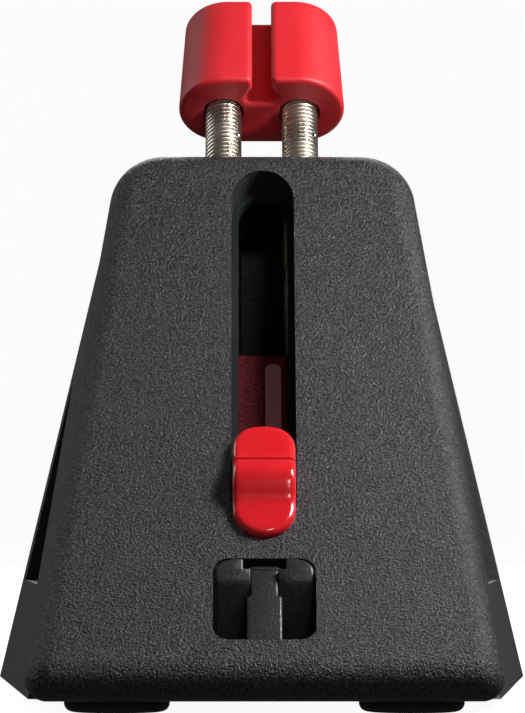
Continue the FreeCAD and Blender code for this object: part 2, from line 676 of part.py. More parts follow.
def make_base_plate():
    plate = common(pyramid("wall+seat_gap", "-past", "body_height-wall"),
                   block("-base_width", "base_width", "0", "body_depth*2", "0", "base_thick"))
    rear = lean_half_space("-base_width", "cover_depth+seat_gap")
    ways = [rod("screw_radius+shank_gap", "base_thick+2*past", across, depth, "-past")
            for across, depth in BOSS_PLACES + BALLAST_SCREWS]
    heads = [rod("head_radius+running_gap", "head_thick+past", across, depth, "-past")
             for across, depth in BOSS_PLACES + BALLAST_SCREWS]
    return finish(cut(plate, rear, *(ways + heads)), "base_plate", UPRIGHT)


def make_foot(name, across, depth):
    disc = rod("foot_radius", "foot_height", across, depth, "-foot_height")
    low = -number("foot_height")
    disc = soften(disc, ("foot_soft", lambda edge: abs(middle_of(edge).z - low) < 0.01))
    return finish(disc, name, UPRIGHT)


def upright_screws(places, reach):
    pieces = []
    for across, depth in places:
        head = rod("head_radius", "head_thick-hole_gap", across, depth, "hole_gap")
        shank = rod("screw_radius-shank_gap", reach, across, depth, "head_thick-running_gap")
        pieces.append(join(head, shank))
    return compound(pieces)


def make_ballast():
    body = soften(block("-ballast_half", "ballast_half", "ballast_back-ballast_long", "ballast_back",
                        "base_thick", "base_thick+ballast_tall"),
                  ("ballast_soft", lambda edge: runs_along(edge, "z")))
    taps = [rod("screw_radius", "screw_long", across, depth, "0") for across, depth in BALLAST_SCREWS]
    return finish(cut(body, *taps), "ballast_weight", UPRIGHT)


def main():
    make_rear_cover()
    make_front_shell()
    make_slide_track()
    make_track_screws()
    make_spring_guide()
    make_cord_guide()
    make_base_plate()
    for name, (across, depth) in FOOT_PLACES.items():
        make_foot(name, across, depth)
    make_ballast()
    finish(upright_screws(BALLAST_SCREWS, "screw_long-2"), "ballast_screws", UPRIGHT)
    finish(upright_screws(BOSS_PLACES, "screw_long-2"), "base_screws", UPRIGHT)
    make_carriage()
    make_carriage_cap()
    make_carriage_screws()
    make_glide_pads()
    make_slider_knob()
    make_knob_screw()
    make_friction_leaf()
    make_leaf_rivets()
    make_spring("left_spring", "-spring_half_span")
    make_spring("right_spring", "spring_half_span")
    make_lower_plugs()
    make_upper_plugs()
    make_cord_clip()
    doc.recompute()

    faults = [item.Label + " " + str(item.State) for item in doc.Objects
              if "Invalid" in item.State or "Error" in item.State]
    for item in FINISHED:
        if item.Shape.isNull() or not item.Shape.isValid() or not item.Shape.Solids:
            faults.append(item.Label + " has no valid shape")
    if faults:
        sys.exit("\n".join(faults))
    for item in FINISHED:
        box = item.Shape.BoundBox
        print("%-18s solids %d volume %9.1f  x %6.1f %6.1f  y %6.1f %6.1f  z %6.1f %6.1f" % (
            item.Label, len(item.Shape.Solids), item.Shape.Volume,
            box.XMin, box.XMax, box.YMin, box.YMax, box.ZMin, box.ZMax))
        item.Shape.exportStep("parts/" + item.Label + ".step")


main()
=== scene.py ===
"""Looks for the desktop cord holder: materials, coiled springs, soft rubber clip, knob and lower guide.

Everything is in metres in the CAD frame: +Z up, -Y towards the slider side, X across. The housing's
face, the slide and the springs all lean back together, so most pieces are built in a leaning frame
with x across, t into the housing and v up the face, and are then carried into the row frame.
"""
import json
import math

import bmesh
import bpy
from mathutils import Matrix, Vector
from mathutils.geometry import tessellate_polygon


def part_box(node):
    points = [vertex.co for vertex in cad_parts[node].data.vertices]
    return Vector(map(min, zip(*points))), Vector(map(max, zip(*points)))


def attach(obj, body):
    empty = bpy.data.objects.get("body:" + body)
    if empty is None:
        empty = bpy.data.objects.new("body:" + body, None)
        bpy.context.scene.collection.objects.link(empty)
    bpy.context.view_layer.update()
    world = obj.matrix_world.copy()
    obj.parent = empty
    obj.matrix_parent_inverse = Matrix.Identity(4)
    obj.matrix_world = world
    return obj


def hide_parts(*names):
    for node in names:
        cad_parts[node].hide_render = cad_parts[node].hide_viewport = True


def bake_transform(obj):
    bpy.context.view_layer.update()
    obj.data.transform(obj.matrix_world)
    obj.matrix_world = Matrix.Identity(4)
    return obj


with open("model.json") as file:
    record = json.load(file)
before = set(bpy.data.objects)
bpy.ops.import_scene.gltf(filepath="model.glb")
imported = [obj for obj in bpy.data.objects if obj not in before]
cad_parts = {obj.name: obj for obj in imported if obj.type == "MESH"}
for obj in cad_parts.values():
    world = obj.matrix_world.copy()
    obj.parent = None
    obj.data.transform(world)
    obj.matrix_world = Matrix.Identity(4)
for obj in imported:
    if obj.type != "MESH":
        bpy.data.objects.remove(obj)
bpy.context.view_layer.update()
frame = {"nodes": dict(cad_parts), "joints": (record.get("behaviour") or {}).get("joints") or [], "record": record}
MM = 0.001

# ---------------------------------------------------------------- the leaning frame
JOINTS = {joint["name"]: joint for joint in frame["joints"]}
SLIDE_AXIS = Vector(JOINTS["height_slide"]["axis"]).normalized()
NOD_POINT = Vector(JOINTS["clip_nod"]["pos_m"])
SWAY_POINT = Vector(JOINTS["clip_sway"]["pos_m"])
LEAN = math.atan2(SLIDE_AXIS.y, SLIDE_AXIS.z)


def leaning_matrix(origin):
    """Local x across, y into the housing, z up the slide, about a point of the row frame."""
    return Matrix.Translation(origin) @ Matrix.Rotation(-LEAN, 4, "X")


def span_along(node, direction, origin=Vector()):
    """How far a node reaches along a direction, measured from an origin."""
    reaches = [(vertex.co - origin).dot(direction) for vertex in frame["nodes"][node].data.vertices]
    return min(reaches), max(reaches)


# ---------------------------------------------------------------- material helpers
def new_material(name, color, roughness, metallic=0.0, specular=0.5):
    material = bpy.data.materials.new(name)
    material.use_nodes = True
    shader = material.node_tree.nodes["Principled BSDF"]
    shader.inputs["Base Color"].default_value = (*color, 1)
    shader.inputs["Roughness"].default_value = roughness
    shader.inputs["Metallic"].default_value = metallic
    shader.inputs["Specular IOR Level"].default_value = specular
    return material, material.node_tree, shader


def noise(tree, scale, detail=2.0, roughness=0.5):
    """Noise in the piece's own metres."""
    node = tree.nodes.new("ShaderNodeTexNoise")
    node.inputs["Scale"].default_value = scale
    node.inputs["Detail"].default_value = detail
    node.inputs["Roughness"].default_value = roughness
    place = tree.nodes.new("ShaderNodeTexCoord")
    tree.links.new(place.outputs["Object"], node.inputs["Vector"])
    return node


def bump(tree, shader, heights, distance):
    """Chain bumps from pairs of height output and strength into the shader's normal."""
    last = None
    for height, strength in heights:
        node = tree.nodes.new("ShaderNodeBump")
        node.inputs["Strength"].default_value = strength
        node.inputs["Distance"].default_value = distance
        tree.links.new(height, node.inputs["Height"])
        if last is not None:
            tree.links.new(last.outputs["Normal"], node.inputs["Normal"])
        last = node
    tree.links.new(last.outputs["Normal"], shader.inputs["Normal"])


def ramp(tree, source, low, high, low_value, high_value):
    """Map a noise output to a span of values."""
    node = tree.nodes.new("ShaderNodeMapRange")
    node.inputs["From Min"].default_value = low
    node.inputs["From Max"].default_value = high
    node.inputs["To Min"].default_value = low_value
    node.inputs["To Max"].default_value = high_value
    tree.links.new(source, node.inputs["Value"])
    return node.outputs["Result"]


def mottle(tree, shader, source, dark, light, low=0.35, high=0.65):
    """Vary the base colour between two near tones."""
    node = tree.nodes.new("ShaderNodeValToRGB")
    node.color_ramp.elements[0].position = low
    node.color_ramp.elements[0].color = (*dark, 1)
    node.color_ramp.elements[1].position = high
    node.color_ramp.elements[1].color = (*light, 1)
    tree.links.new(source, node.inputs["Fac"])
    tree.links.new(node.outputs["Color"], shader.inputs["Base Color"])


FINE_GRAIN = 2.3
FINE_SHARE = 0.45
PLAIN_SPREAD = 0.02


def spark_plastic(name, dark, light, grain, depth, roughness, grain_top_highlight=0.0, specular=0.5):
    """Moulded plastic with a spark-eroded grain: rounded grains with finer noise on them.

    With a grain-top highlight, the grain's tops are painted paler than its valleys: a painted highlight on
    the raised grain's facets. Without one, the two tones only mottle the surface in large soft patches.
    """
    rough_low, rough_high = roughness
    material, tree, shader = new_material(name, dark, rough_high, specular=specular)
    coarse = noise(tree, grain, 2.0, 0.5)
    fine = noise(tree, grain * FINE_GRAIN, 1.0, 0.5)
    # with a speckle, the grain noise that raises the bump also paints the grain's tops paler: a painted highlight
    # on them
    source = coarse if grain_top_highlight else noise(tree, 60.0, 3.0, 0.5)
    spread = 0.5 * grain_top_highlight if grain_top_highlight else PLAIN_SPREAD
    mottle(tree, shader, source.outputs["Fac"], dark, light, 0.5 - spread, 0.5 + spread)
    tree.links.new(ramp(tree, coarse.outputs["Fac"], 0.35, 0.65, rough_high, rough_low),
                   shader.inputs["Roughness"])
    bump(tree, shader, [(coarse.outputs["Fac"], 1.0), (fine.outputs["Fac"], FINE_SHARE)], depth)
    return material


def gloss_red():
    """Polished red plastic with a clear top layer."""
    material, tree, shader = new_material("gloss_red", (0.60, 0.010, 0.016), 0.16)
    shader.inputs["Coat Weight"].default_value = 0.6
    shader.inputs["Coat Roughness"].default_value = 0.05
    cloud = noise(tree, 180.0, 3.0)
    mottle(tree, shader, cloud.outputs["Fac"], (0.56, 0.008, 0.014), (0.62, 0.012, 0.018))
    bump(tree, shader, [(noise(tree, 900.0, 2.0).outputs["Fac"], 1.0)], 0.00001)
    return material


def red_rubber():
    """Soft matte red rubber with a bloom-like sheen and a very fine grain."""
    material, tree, shader = new_material("red_rubber", (0.70, 0.016, 0.026), 0.5)
    shader.inputs["Sheen Weight"].default_value = 0.12
    shader.inputs["Sheen Roughness"].default_value = 0.4
    cloud = noise(tree, 120.0, 4.0)
    mottle(tree, shader, cloud.outputs["Fac"], (0.57, 0.010, 0.017), (0.62, 0.014, 0.023))
    grain = noise(tree, 3800.0, 2.0)
    tree.links.new(ramp(tree, cloud.outputs["Fac"], 0.3, 0.7, 0.46, 0.56), shader.inputs["Roughness"])
    bump(tree, shader, [(grain.outputs["Fac"], 1.0)], 0.00005)
    return material


def metal(name, color, roughness, grain, depth):
    """Bare metal with faint clouds in its tone and its polish, and a fine grain."""
    material, tree, shader = new_material(name, color, roughness, metallic=1.0)
    cloud = noise(tree, 240.0, 4.0)
    mottle(tree, shader, cloud.outputs["Fac"], tuple(0.9 * part for part in color), color)
    tree.links.new(ramp(tree, cloud.outputs["Fac"], 0.3, 0.7, roughness * 0.85, roughness * 1.3),
                   shader.inputs["Roughness"])
    bump(tree, shader, [(noise(tree, grain, 3.0).outputs["Fac"], 1.0)], depth)
    return material


# name: dark tone, light tone, grains per metre, grain depth, roughness from and to, painted highlight on the grain
# tops, specular
SPARK_PLASTICS = {
    "textured_black": ((0.0030, 0.0032, 0.0037), (0.044, 0.046, 0.050), 2900, 0.30 * MM,
                       (0.30, 0.46), 0.24, 0.36),
    "satin_black": ((0.014, 0.0155, 0.017), (0.028, 0.030, 0.033), 2400, 0.08 * MM, (0.44, 0.56), 0.3, 0.5),
    "track_black": ((0.006, 0.008, 0.009), (0.009, 0.011, 0.012), 2600, 0.05 * MM, (0.55, 0.65), 0.0, 0.2),
    "gloss_black": ((0.010, 0.010, 0.011), (0.028, 0.028, 0.030), 2600, 0.06 * MM, (0.30, 0.40), 0.3, 0.45),
    "foot_rubber": ((0.012, 0.012, 0.012), (0.018, 0.018, 0.018), 2800, 0.06 * MM, (0.6, 0.75), 0.0, 0.5),
    # dark_red's tones are halved from the carriage's own red to stand in for the shade in the slot: partly own
    # colour, partly painted shade
    "dark_red": ((0.020, 0.001, 0.002), (0.085, 0.004, 0.008), 2400, 0.10 * MM, (0.6, 0.75), 0.3, 0.12),
    "pad_plastic": ((0.70, 0.68, 0.62), (0.76, 0.74, 0.68), 2600, 0.03 * MM, (0.35, 0.45), 0.0, 0.5),
    # leaf_plastic's tones are raised about two and a half times to make up for the slot wall's shadow on the leaf:
    # partly own colour, partly painted light
    "leaf_plastic": ((0.26, 0.09, 0.115), (0.30, 0.105, 0.13), 3000, 0.04 * MM, (0.42, 0.55), 0.0, 0.5),
}

# name: colour, roughness, grains per metre, grain depth
METALS = {
    "ballast_iron": ((0.16, 0.16, 0.17), 0.6, 900.0, 0.2 * MM),
    "screw_steel": ((0.60, 0.60, 0.62), 0.28, 2500.0, 0.01 * MM),
    "spring_steel": ((0.74, 0.69, 0.60), 0.26, 3000.0, 0.001 * MM),
}

MATERIALS = {name: spark_plastic(name, *finish) for name, finish in SPARK_PLASTICS.items()}
MATERIALS.update({name: metal(name, *finish) for name, finish in METALS.items()})
MATERIALS["gloss_red"] = gloss_red()
MATERIALS["red_rubber"] = red_rubber()


def dress(piece, slot):
    """Give a piece the material of its slot."""
    piece.data.materials.clear()
    piece.data.materials.append(MATERIALS[slot])
    return piece


for entry in frame["record"]["subparts"]:
    dress(frame["nodes"][entry["node"]], entry["material_slot"])


# ---------------------------------------------------------------- mesh helpers
SAME_POINT = 1e-9
SAME_VERTEX = 1e-6
NO_AREA = 1e-14


def mesh_piece(name, vertices, faces):
    """A smooth-shaded object in the scene, from vertices in the row frame."""
    mesh = bpy.data.meshes.new(name)
    mesh.from_pydata([tuple(vertex) for vertex in vertices], [], faces)
    mesh.validate()
    piece = bpy.data.objects.new(name, mesh)
    bpy.context.scene.collection.objects.link(piece)
    mesh.shade_smooth()
    return piece


def leaning_box(node):
    """A node's lowest and highest corner in the leaning frame, about the nod point, in metres."""
    to_leaning = leaning_matrix(NOD_POINT).inverted()
    points = [to_leaning @ vertex.co for vertex in frame["nodes"][node].data.vertices]
    return (Vector([min(point[axis] for point in points) for axis in range(3)]),
            Vector([max(point[axis] for point in points) for axis in range(3)]))


def bands(rows, count):
    """Faces of a closed tube between rows of vertices, each row with the same count."""
    return [(row * count + k, row * count + (k + 1) % count,
             (row + 1) * count + (k + 1) % count, (row + 1) * count + k)
            for row in range(rows - 1) for k in range(count)]


def loft(rings):
    """Vertices and faces of a closed tube through rings of equal length, with flat ends."""
    count = len(rings[0])
    faces = bands(len(rings), count)
    faces.append(tuple(range(count - 1, -1, -1)))
    faces.append(tuple((len(rings) - 1) * count + k for k in range(count)))
    return [point for ring in rings for point in ring], faces


def quarter_turn(step=15):
    """Angles over a quarter turn, in radians."""
    return [math.radians(angle) for angle in range(0, 91, step)]


def arc(centre, radius, start, end, steps):
    """Points of an arc in a plane, angles in degrees."""
    turns = [math.radians(start + (end - start) * k / steps) for k in range(steps + 1)]
    return [(centre[0] + radius * math.cos(turn), centre[1] + radius * math.sin(turn)) for turn in turns]


def resample(points, spacing):
    """Add points on long straight stretches of a closed outline, so that it shades evenly."""
    filled = []
    for index, point in enumerate(points):
        following = points[(index + 1) % len(points)]
        length = math.dist(point, following)
        if length < SAME_POINT:
            continue
        count = max(1, round(length / spacing))
        filled += [(point[0] + (following[0] - point[0]) * k / count,
                    point[1] + (following[1] - point[1]) * k / count) for k in range(count)]
    return filled


def inset_outline(points, distance):
    """Move every point of a closed counter-clockwise outline inwards along its own normal."""
    moved = []
    for index, point in enumerate(points):
        before = points[index - 1]
        after = points[(index + 1) % len(points)]
        run = (after[0] - before[0], after[1] - before[1])
        length = math.hypot(*run)
        moved.append((point[0] - run[1] / length * distance, point[1] + run[0] / length * distance))
    return moved


def flat_faces(loops, flip):
    """Triangles that fill an outline with holes; loops are lists of vertex index and point."""
    polygons = [[Vector((point[0], point[1], 0)) for _, point in loop] for loop in loops]
    numbers = [number for loop in loops for number, _ in loop]
    faces = [tuple(numbers[corner] for corner in face) for face in tessellate_polygon(polygons)]
    flat = {number: point for loop in loops for number, point in loop}
    fixed = []
    for face in faces:
        one, two, three = (flat[corner] for corner in face)
        area = (two[0] - one[0]) * (three[1] - one[1]) - (three[0] - one[0]) * (two[1] - one[1])
        if abs(area) > NO_AREA:
            fixed.append(face if (area > 0) != flip else face[::-1])
    return fixed


def smooth_by_angle(piece, degrees):
    """Smooth shading with sharp edges kept where faces meet at more than an angle."""
    mesh = piece.data
    work = bmesh.new()
    work.from_mesh(mesh)
    bmesh.ops.remove_doubles(work, verts=work.verts, dist=SAME_VERTEX)
    bmesh.ops.recalc_face_normals(work, faces=work.faces)
    for face in work.faces:
        face.smooth = True
    for edge in work.edges:
        edge.smooth = len(edge.link_faces) == 2 and edge.calc_face_angle(0) < math.radians(degrees)
    work.to_mesh(mesh)
    work.free()


# ---------------------------------------------------------------- springs
WIRE = 0.75 * MM
PITCH = WIRE * 1.05
RING_STEPS = 32
WIRE_STEPS = 12


def spring_sizes():
    """Half the distance between the springs' axes, and a spring's outer radius."""
    low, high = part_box("right_spring")
    return (low.x + high.x) / 2, (high.x - low.x) / 2


def spring_piece(name, across, low, high):
    """A close-wound coil as one swept tube, from height low to high up the slide."""
    radius = spring_sizes()[1] - WIRE / 2
    matrix = leaning_matrix(NOD_POINT)
    first = round(low / PITCH * RING_STEPS)
    last = round(high / PITCH * RING_STEPS)
    rings = []
    for step in range(first, last + 1):
        angle = 2 * math.pi * step / RING_STEPS
        outward = Vector((math.cos(angle), math.sin(angle), 0))
        centre = Vector((across, 0, PITCH * step / RING_STEPS)) + radius * outward
        along = Vector((-radius * math.sin(angle), radius * math.cos(angle),
                        PITCH / (2 * math.pi))).normalized()
        up = along.cross(outward).normalized()
        rings.append([matrix @ (centre + WIRE / 2 * (math.cos(turn) * outward + math.sin(turn) * up))
                      for turn in (2 * math.pi * k / WIRE_STEPS for k in range(WIRE_STEPS))])
    return dress(mesh_piece(name, *loft(rings)), "spring_steel")


def make_springs():
    """Each spring is one coil in two lengths that meet between the nod and the sway."""
    low, high = span_along("left_spring", SLIDE_AXIS, NOD_POINT)
    middle = (SWAY_POINT - NOD_POINT).dot(SLIDE_AXIS) / 2
    for side, name in ((-1, "left_spring"), (1, "right_spring")):
        across = side * spring_sizes()[0]
        lower = spring_piece(name + "_lower", across, low + WIRE / 2, middle)
        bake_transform(lower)
        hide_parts(name)
        upper = spring_piece(name + "_upper", across, middle, high - WIRE / 2)
        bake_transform(upper)


make_springs()


# ---------------------------------------------------------------- cord clip
CLIP_EDGE = 0.75 * MM
CLIP_MOUTH = 3.0 * MM
CLIP_ROOM = 5.0 * MM
CLIP_NECK = 2.1 * MM
CLIP_CHANNEL = 5.4 * MM
CLIP_TAPER = 0.075
CLIP_LIP = 0.85 * MM
CLIP_ROOM_CORNER = 0.9 * MM
CLIP_FLARE = 0.62
CLIP_END_STEPS = 28
CLIP_ROWS = 8
BORE_GAP = 0.12 * MM
BORE_STEPS = 48
# how much wider than the bore the funnel round a spring is, and how deep in
FUNNEL = [(0.75 * MM, 0.0), (0.45 * MM, 0.12 * MM), (0.2 * MM, 0.55 * MM), (0.0, 1.8 * MM), (0.0, 8 * MM)]


def clip_outline(half, near, far):
    """The clip seen along the springs: round ends and a keyhole channel open at the near side."""
    radius = (far - near) / 2
    centre = half - radius
    middle = (near + far) / 2
    mouth, room, lip = CLIP_MOUTH / 2, CLIP_ROOM / 2, CLIP_LIP
    back = near + CLIP_CHANNEL
    corner = CLIP_ROOM_CORNER
    flare_start = near + CLIP_NECK
    points = arc((mouth + lip, near + lip), lip, 180, 270, 6)
    points += arc((centre, middle), radius, -90, 90, CLIP_END_STEPS)
    points += arc((-centre, middle), radius, 90, 270, CLIP_END_STEPS)
    points += arc((-mouth - lip, near + lip), lip, -90, 0, 6)
    # the flare from the neck into the room is a convex roll, and the room's back corners are round
    flare = (room - mouth) * CLIP_FLARE
    points += arc((-mouth - flare, flare_start), flare, 0, 65, 6)
    points += arc((-room + corner, back - corner), corner, 195, 90, 7)
    points += arc((room - corner, back - corner), corner, 90, -15, 7)
    points += arc((mouth + flare, flare_start), flare, 115, 180, 6)
    return resample(points, 0.7 * MM)


def make_clip():
    """Soft rubber block with rolled edges, a keyhole channel and a funnel for each spring."""
    low, high = leaning_box("cord_clip")
    half = high.x
    outline = clip_outline(half, low.y, high.y)
    middle = (low.y + high.y) / 2
    tall = high.z - low.z
    levels = [(CLIP_EDGE * (1 - math.sin(turn)), CLIP_EDGE * (1 - math.cos(turn)))
              for turn in quarter_turn()]
    rows = [(low.z + height, inset) for inset, height in levels]
    rows += [(low.z + CLIP_EDGE + (tall - 2 * CLIP_EDGE) * k / CLIP_ROWS, 0.0)
             for k in range(1, CLIP_ROWS)]
    rows += [(high.z - height, inset) for inset, height in reversed(levels)]
    matrix = leaning_matrix(NOD_POINT)
    vertices, rings = [], []
    for height, inset in rows:
        scale = 1 - CLIP_TAPER * (height - low.z) / tall
        ring = [(x * scale if abs(x) > CLIP_ROOM else x * (1 - (1 - scale) * abs(x) / half),
                 middle + (y - middle) * (1 - (1 - scale) * 0.5)) for x, y in inset_outline(outline, inset)]
        rings.append([(len(vertices) + k, point) for k, point in enumerate(ring)])
        vertices += [matrix @ Vector((x, y, height)) for x, y in ring]
    faces = bands(len(rings), len(outline)) + flat_faces([rings[-1]], False)
    half_span, spring_radius = spring_sizes()
    holes = []
    for side in (-1, 1):
        loops = []
        for wider, depth in FUNNEL:
            ring = arc((side * half_span, 0.0), spring_radius + BORE_GAP + wider,
                       0, 360 - 360 / BORE_STEPS, BORE_STEPS - 1)
            loops.append([(len(vertices) + k, point) for k, point in enumerate(ring)])
            vertices += [matrix @ Vector((x, y, low.z + depth)) for x, y in ring]
        for below, above in zip(loops, loops[1:]):
            for k in range(BORE_STEPS):
                following = (k + 1) % BORE_STEPS
                faces.append((below[following][0], below[k][0], above[k][0], above[following][0]))
        faces.append(tuple(number for number, _ in loops[-1]))
        holes.append(loops[0][::-1])
    faces += flat_faces([rings[0]] + holes, True)
    piece = dress(mesh_piece("rubber_clip", vertices, faces), "red_rubber")
    smooth_by_angle(piece, 35)
    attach(piece, "clip")
    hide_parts("cord_clip")


make_clip()


# ---------------------------------------------------------------- slider knob
KNOB_RIM = 0.95 * MM
KNOB_LOW_END = 1.05
KNOB_HIGH_END = 0.98
KNOB_HIGH_POWER = 0.86
KNOB_END_STEPS = 40
KNOB_SIDE_STEPS = 120
# how far the face stands proud, in millimetres, against the share of the length from the top end
KNOB_CREASE = 0.356
KNOB_UPPER = [(0.0, 1.55), (0.12, 1.72), (0.24, 1.88), (0.31, 2.04), (KNOB_CREASE, 2.42)]
KNOB_LOWER = [(KNOB_CREASE, 2.20), (0.375, 2.56), (0.41, 2.92), (0.46, 3.22), (0.52, 3.26), (0.575, 2.96),
              (0.63, 2.40), (0.68, 1.82), (0.73, 1.45), (0.79, 1.30), (1.0, 1.20)]


def through(points, place):
    """A smooth curve through points that are in order along their first number."""
    for index in range(len(points) - 1):
        (start, low), (end, high) = points[index], points[index + 1]
        if place <= end or index == len(points) - 2:
            before = points[max(index - 1, 0)]
            after = points[min(index + 2, len(points) - 1)]
            span = end - start
            slope_in = (high - before[1]) / (end - before[0]) * span
            slope_out = (after[1] - low) / (after[0] - start) * span
            u = min(max((place - start) / span, 0), 1)
            return (low * (2 * u ** 3 - 3 * u ** 2 + 1) + slope_in * (u ** 3 - 2 * u ** 2 + u)
                    + high * (3 * u ** 2 - 2 * u ** 3) + slope_out * (u ** 3 - u ** 2))


def knob_rise(share):
    """How far the knob's face stands above the housing's face, from its top end down."""
    return through(KNOB_UPPER if share < KNOB_CREASE else KNOB_LOWER, share) * MM


def make_knob():
    """Glossy stadium button: a rising upper face, a crease, a cross ridge, a low pad and a rolled rim."""
    low, high = leaning_box("slider_knob")
    half = high.x
    face = leaning_box("rear_cover")[0].y
    length = high.z - low.z
    round_low, round_high = half * KNOB_LOW_END, half * KNOB_HIGH_END
    spine_low, spine_high = low.z + round_low, high.z - round_high
    heights = [spine_low + (spine_high - spine_low) * k / KNOB_SIDE_STEPS
               for k in range(1, KNOB_SIDE_STEPS)]
    turns = [math.pi * k / KNOB_END_STEPS for k in range(KNOB_END_STEPS + 1)]
    outline = [(-half * math.cos(turn), spine_low - round_low * math.sin(turn)) for turn in turns]
    outline += [(half, height) for height in heights]
    for turn in turns:
        across = math.copysign(abs(math.cos(turn)) ** KNOB_HIGH_POWER, math.cos(turn))
        outline.append((half * across, spine_high + round_high * abs(math.sin(turn)) ** KNOB_HIGH_POWER))
    outline += [(-half, height) for height in reversed(heights)]
    matrix = leaning_matrix(NOD_POINT)

    def surface(x, z, drop):
        share = min(max((high.z - z) / length, 0), 1)
        return matrix @ Vector((x, face - knob_rise(share) + drop, z))

    rows = [[matrix @ Vector((x, depth, z)) for x, z in outline] for depth in (high.y, face)]
    steps = [(KNOB_RIM * (1 - math.cos(turn)), KNOB_RIM * (1 - math.sin(turn)))
             for turn in quarter_turn()]
    steps += [(KNOB_RIM + (half - KNOB_RIM) * share, 0.0) for share in (0.2, 0.4, 0.6, 0.8, 1.0)]
    for inset, drop in steps:
        share = inset / half
        rows.append([surface(x * (1 - share), z + (min(max(z, spine_low), spine_high) - z) * share, drop)
                     for x, z in outline])
    vertices = [vertex for row in rows for vertex in row]
    count = len(outline)
    faces = bands(len(rows), count) + [tuple(range(count))]
    piece = dress(mesh_piece("knob_button", vertices, faces), "gloss_red")
    smooth_by_angle(piece, 40)
    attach(piece, "slider")
    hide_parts("slider_knob")


make_knob()


# ---------------------------------------------------------------- lower cord guide
GUIDE_FLANGE = 1.6 * MM
GUIDE_FLUSH = 1.5 * MM
GUIDE_ROLL = 3.2 * MM
GUIDE_TURN = math.radians(46)
GUIDE_SIDE = 0.8 * MM
GUIDE_CORNER = 2.0 * MM
GUIDE_TALL = 13.78 * MM
GUIDE_SET_BACK = 0.06 * MM
LOBE_ROWS = 60
STEP = 1e-6
FLANGE_NEAR = 3.65 * MM
FLANGE_FAR = 5.1 * MM
BAR_HALF = 2.95 * MM
BAR_DROP = 1.65 * MM
NIB_HALF = 1.95 * MM
NIB_DROP = 7.6 * MM
CHANNEL_HALF = 2.55 * MM
TONGUE_DEPTH = 0.95 * MM
TONGUE_DROP = 0.35 * MM
TONGUE_SHOULDER_DROP = 5.2 * MM
TONGUE_HEAD = 2.4 * MM
TONGUE_NECK = 1.95 * MM


def lobe_depth(fall, front):
    """Depth of a lobe's front at a distance below its top: flush, rolling under, then straight."""
    rolled = fall - GUIDE_FLUSH
    if rolled <= 0:
        return front
    if rolled < GUIDE_ROLL * math.sin(GUIDE_TURN):
        return front + GUIDE_ROLL - math.sqrt(GUIDE_ROLL ** 2 - rolled ** 2)
    return (front + GUIDE_ROLL * (1 - math.cos(GUIDE_TURN))
            + (rolled - GUIDE_ROLL * math.sin(GUIDE_TURN)) * math.tan(GUIDE_TURN))


def lobe(side, outer, front, back, bottom, top):
    """One lobe between the window's side and the channel, its outer corners round like the window's."""
    tall = top - bottom
    falls = [tall * k / LOBE_ROWS for k in range(LOBE_ROWS + 1)]
    steps = [(fall, BAR_HALF if fall < BAR_DROP else NIB_HALF if fall < NIB_DROP else CHANNEL_HALF)
             for fall in falls]
    steps += [(BAR_DROP, BAR_HALF), (BAR_DROP + STEP, NIB_HALF),
              (NIB_DROP, NIB_HALF), (NIB_DROP + STEP, CHANNEL_HALF)]
    rings = []
    for fall, inner in sorted(steps):
        near_end = max(GUIDE_CORNER - fall, GUIDE_CORNER - (tall - fall), 0)
        edge = outer - GUIDE_CORNER + math.sqrt(GUIDE_CORNER ** 2 - near_end ** 2)
        depth = min(lobe_depth(fall, front), back - GUIDE_SIDE)
        row = [(edge, back)]
        row += [(edge - GUIDE_SIDE * (1 - math.cos(turn)), depth + GUIDE_SIDE * (1 - math.sin(turn)))
                for turn in quarter_turn()]
        row += [((edge - GUIDE_SIDE + inner + 0.3 * MM) / 2, depth), (inner + 0.3 * MM, depth),
                (inner + 0.1 * MM, depth + 0.09 * MM), (inner, depth + 0.3 * MM), (inner, back)]
        rings.append([Vector((side * x, y, top - fall)) for x, y in row])
    return loft(rings)


def tongue(front, back, bottom, top):
    """The flat bar in the channel: a round-cornered head, a narrower neck and full width below."""
    corner, edge, shoulder = 1.0 * MM, 0.4 * MM, 0.5 * MM
    half = CHANNEL_HALF - 0.06 * MM
    neck_top, neck_low = top - corner - 0.15 * MM, top - TONGUE_SHOULDER_DROP
    right = [(half, bottom)]
    right += arc((half - shoulder, neck_low - shoulder), shoulder, 0, 80, 5)
    right += [(TONGUE_NECK, neck_low + 0.1 * MM), (TONGUE_NECK, neck_top - 0.2 * MM)]
    right += [(TONGUE_HEAD, neck_top + 0.1 * MM)]
    right += arc((TONGUE_HEAD - corner, top - corner), corner, 8, 90, 8)
    outline = resample(right + [(-x, z) for x, z in reversed(right)], 0.6 * MM)
    rings = [[Vector((x, back, z)) for x, z in outline]]
    for turn in quarter_turn():
        rings.append([Vector((x, front + edge * (1 - math.sin(turn)), z))
                      for x, z in inset_outline(outline, edge * (1 - math.cos(turn)))])
    return loft(rings)


def flange(outer, inner, near, far, bottom, top):
    """The thin frame behind the cover that holds the insert in its window."""
    vertices, faces = [], []
    bars = [(-outer, -inner, bottom, top), (inner, outer, bottom, top),
            (-inner, inner, bottom, bottom + outer - inner)]
    for x0, x1, z0, z1 in bars:
        first = len(vertices)
        more, sides = loft([[Vector((x0, y, z0)), Vector((x1, y, z0)), Vector((x1, y, z1)),
                             Vector((x0, y, z1))] for y in (near, far)])
        vertices += more
        faces += [tuple(first + number for number in face) for face in sides]
    return vertices, faces


